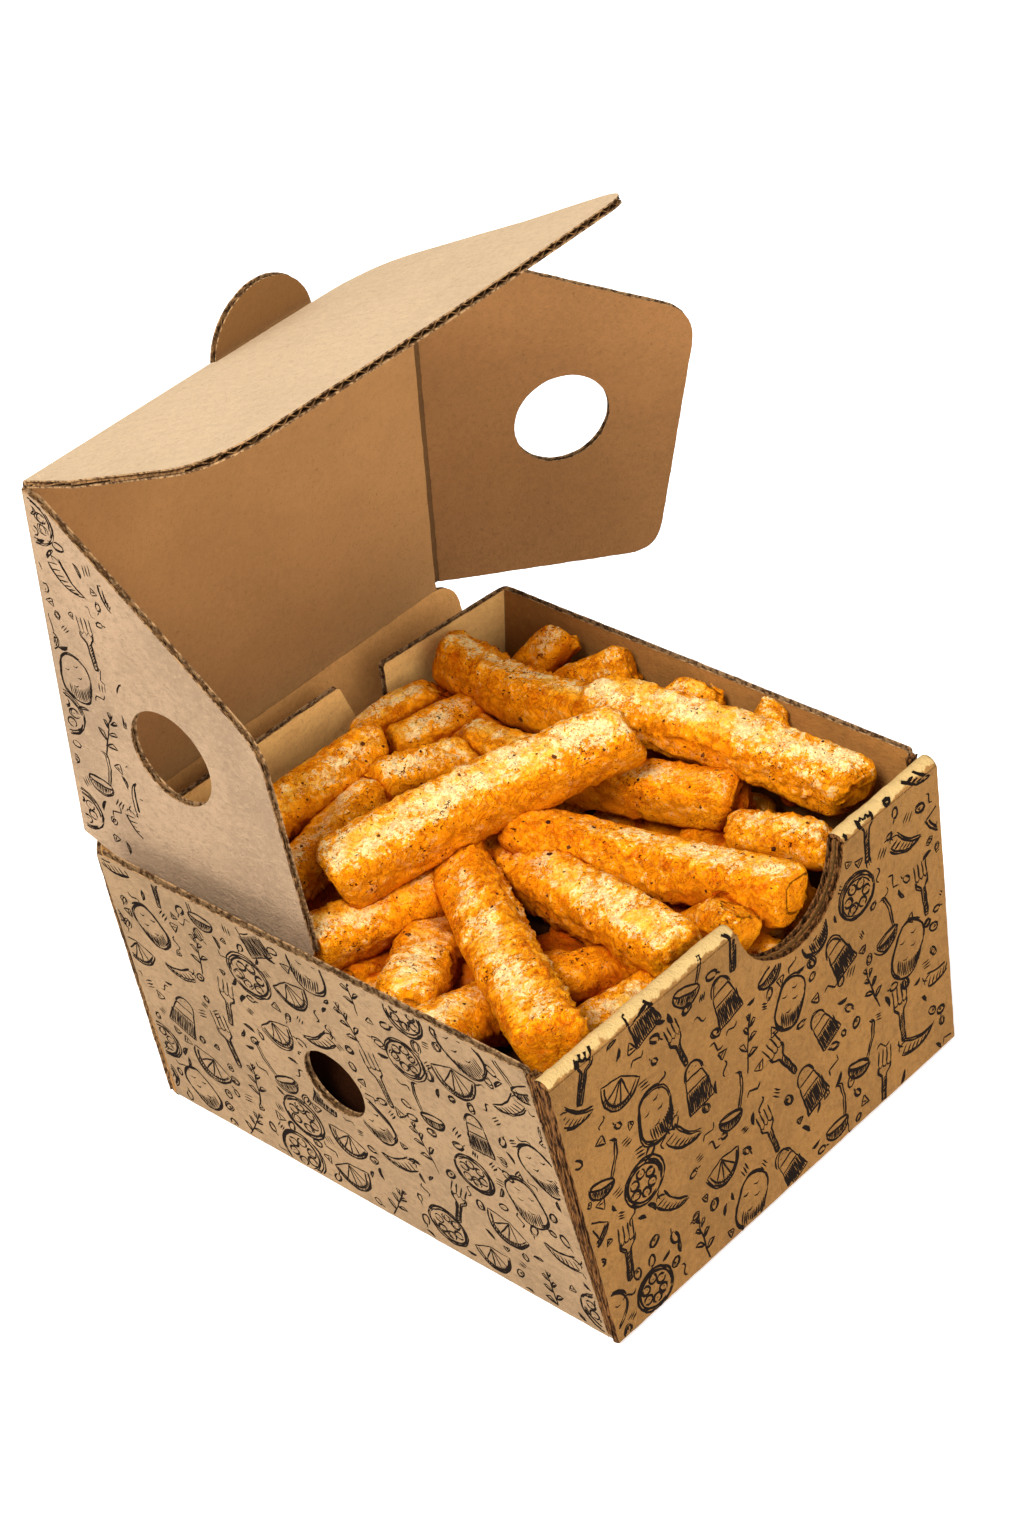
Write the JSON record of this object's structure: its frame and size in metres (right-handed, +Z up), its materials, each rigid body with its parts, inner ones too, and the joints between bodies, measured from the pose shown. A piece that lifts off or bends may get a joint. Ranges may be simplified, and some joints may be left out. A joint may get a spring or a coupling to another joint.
{
  "type": "french fries in a carton",
  "caption": "Open corrugated takeaway box with a hinged lid, side flaps and thumb notch, heaped with thick seasoned fries.",
  "frame": {"origin": "centre of the tray's underside, on the surface that the box stands on", "axes": "+Z up, -Y the front wall with the thumb notch, +Y the back wall with the lid's crease, +X the right side seen from the front"},
  "size_m": [0.1623, 0.1355, 0.18],
  "materials": {
    "tray_card": "matte",
    "lid_card": "matte",
    "flap_card": "matte",
    "tuck_card": "matte",
    "fried_potato": "matte"
  },
  "bodies": {
    "tray_body": {"tray": "tray_card", "fries": "fried_potato"},
    "lid_body": {"lid": "lid_card"},
    "right_flap_body": {"right_lid_flap": "flap_card"},
    "tuck_body": {"tuck_panel": "tuck_card"}
  },
  "joints": [
    {"name": "lid_hinge", "type": "hinge", "parent": "tray_body", "child": "lid_body", "pos_m": [0, 0.0721, 0.0661], "axis": [1, 0, 0], "range_deg": [-66, 54]},
    {"name": "right_flap_crease", "type": "hinge", "parent": "lid_body", "child": "right_flap_body", "pos_m": [0.0518, 0.0721, 0.0661], "axis": [0, 0.1115, -0.9938], "range_deg": [-60, 14]},
    {"name": "tuck_crease", "type": "hinge", "parent": "lid_body", "child": "tuck_body", "pos_m": [0, 0.06248, 0.15186], "axis": [1, 0, 0], "range_deg": [-14, 0]}
  ]
}
